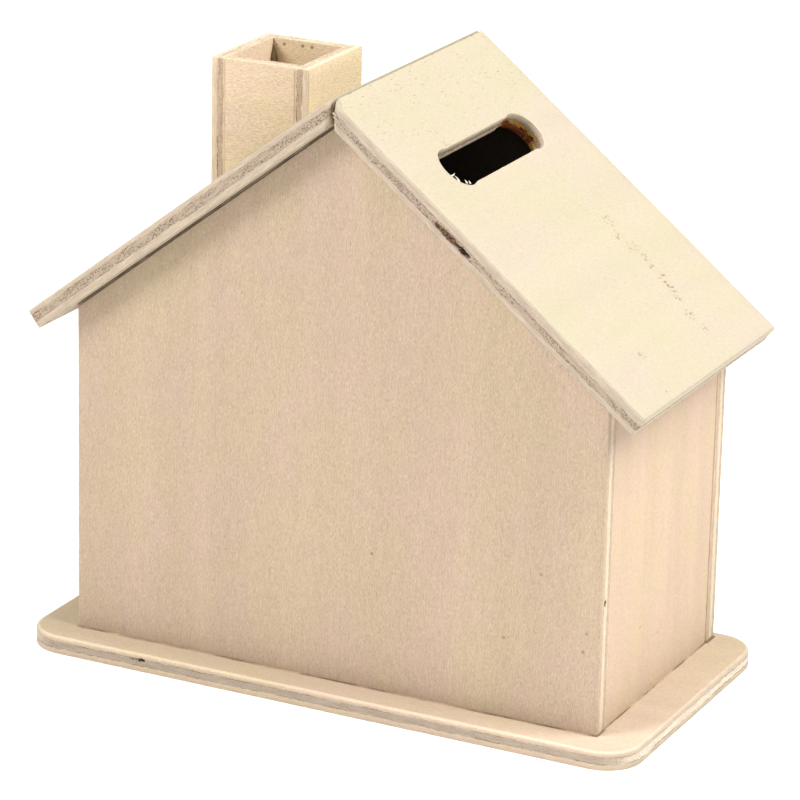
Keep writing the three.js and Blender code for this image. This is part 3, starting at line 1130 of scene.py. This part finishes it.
# The side walls' inner faces are darkened as painted shade.
side_stock = Stock(
    "side_wall_plywood", "wall_plywood", WALL_THICKNESS, (0.30, 0.68),
    veneer=paint(222, 195, 168), end=paint(210, 188, 162), core=paint(214, 196, 168),
    long_core=paint(226, 204, 176), bands=0.11, stipple=0.3, painted_inner_light=0.35,
    marks=in_wood(WALL_MARKS, "right_side_wall"))
left_roof_stock = Stock(
    "roof_plywood", "roof_plywood", ROOF_THICKNESS, (0.36, 0.74),
    end=paint(215, 195, 171), **ROOF_LOOK)
right_roof_stock = Stock(
    "slotted_roof_plywood", "roof_plywood", ROOF_THICKNESS, (0.30, 0.60),
    end=paint(213, 194, 172), rough_top=0.6,
    marks=in_wood(SLOPE_MARKS, "right_roof_panel", ROOF_FRONT), **ROOF_LOOK)
yellow_stock = chimney_stock("chimney_plywood", CHIMNEY_VENEER)
# A paler copy of the chimney plywood: painted light for the chimney's right wall.
lit_chimney_stock = chimney_stock("lit_chimney_plywood", paint(255, 232, 196))
pinned_stock = chimney_stock("pinned_chimney_plywood", CHIMNEY_VENEER,
                             in_wood(PIN_MARKS, "chimney_rear_wall"))

base_plate(base_stock)
middle = 0.5 * WALL_THICKNESS
# The flaws in the gable's edge are darkened as painted shade in their recesses.
gable_flaws = [Flaw(50, 54.5, middle, reach=4.0, tall=0.25, depth=0.10, darkness=0.2),
               Flaw(50, 26.6, middle, reach=0.75, tall=0.5, depth=0.25, darkness=0.8)]
gable("front_gable", gable_stock, -1, gable_flaws)
gable("rear_gable", gable_stock, 1)
side_wall("right_side_wall", side_stock, 1)
side_wall("left_side_wall", side_stock, -1)
slope_flaws = [Flaw(29.2, ROOF_FRONT, 1.45, reach=4.0, tall=0.62, depth=0.3, darkness=0.8),
               Flaw(33.0, ROOF_FRONT, 1.4, reach=1.9, tall=0.55, depth=0.6)]
roof_panel("right_roof_panel", right_roof_stock, 1, soften=0.45, ridge_wear=1.2,
           slotted=True, flaws=slope_flaws)
roof_panel("left_roof_panel", left_roof_stock, -1, soften=0.4, ridge_wear=0.6)
chimney_wall("chimney_left_wall", yellow_stock, -X)
# The right wall gets the paler copy as painted light.
chimney_wall("chimney_right_wall", lit_chimney_stock, X)
chimney_wall("chimney_front_wall", yellow_stock, -Y)
chimney_wall("chimney_rear_wall", pinned_stock, Y)

# The dark glue is painted shade: it stands for the shaded gaps under the left slope and in the ridge.
GLUES = {"brown_glue": ((214, 182, 150), (146, 112, 84)),
         "glue_with_painted_shade": ((170, 124, 88), (96, 62, 40)),
         "white_glue": ((236, 222, 206), (206, 184, 162)),
         "shadow_glue": ((150, 128, 106), (100, 78, 60)),
         "old_glue": ((160, 130, 76), (78, 58, 26)),
         "wood_filler": ((240, 214, 180), (222, 190, 156)),
         "pale_fibre": ((255, 250, 236), (240, 226, 206)),
         "splinter": ((238, 226, 208), (206, 190, 170))}
stuff = {name: dried_glue(name, paint(*pale), paint(*deep)) for name, (pale, deep) in GLUES.items()}
roof_glue(1, stuff["white_glue"])
# Under the left slope and in the ridge the glue is coloured dark as painted shade in those gaps.
roof_glue(-1, stuff["glue_with_painted_shade"])
ridge_glue(stuff["glue_with_painted_shade"])
chimney_glue(stuff["brown_glue"])
joint_beads(stuff["brown_glue"], stuff["shadow_glue"], stuff["wood_filler"])
chimney_seams(stuff["wood_filler"])
chimney_corner_glue(stuff["old_glue"])
torn_fibres("slot_fibres", stuff["pale_fibre"],
            [(21.3, -16.2, -0.02, 88, 0.1, 1.5, 0.36, 0.15), (22.9, -15.8, -0.02, 120, 0.1, 1.6, 0.38, 0.9),
             (23.7, -14.0, -0.05, 150, 0.1, 0.8, 0.34, 0.3), (24.0, -13.3, -0.05, 140, 0.1, 0.7, 0.32, 0.2)])
torn_fibres("ridge_fibres", stuff["splinter"],
            [(1.7, ROOF_FRONT, -1.35, 0, -0.15, 1.1, 0.28, 0.02),
             (2.2, ROOF_FRONT, -1.75, 0, 0.15, 1.2, 0.28, -0.02),
             (3.6, ROOF_FRONT, -1.3, 0, -0.1, 0.9, 0.26, 0.02)])
stopper(moulded_plastic("stopper_plastic", paint(217, 212, 198)))

camera(azimuth=26.036, elevation=18.761, roll=1.314, distance=721.24, target=(-0.343, 1.75, 46.438),
       lens=187.286)
sun("key_left", towards=(-0.50, -0.55, 0.62), strength=3.3, spread=24)
sun("key_right", towards=(0.62, 0.12, 0.78), strength=4.9, spread=40)
sky(0.54)
paper_floor()
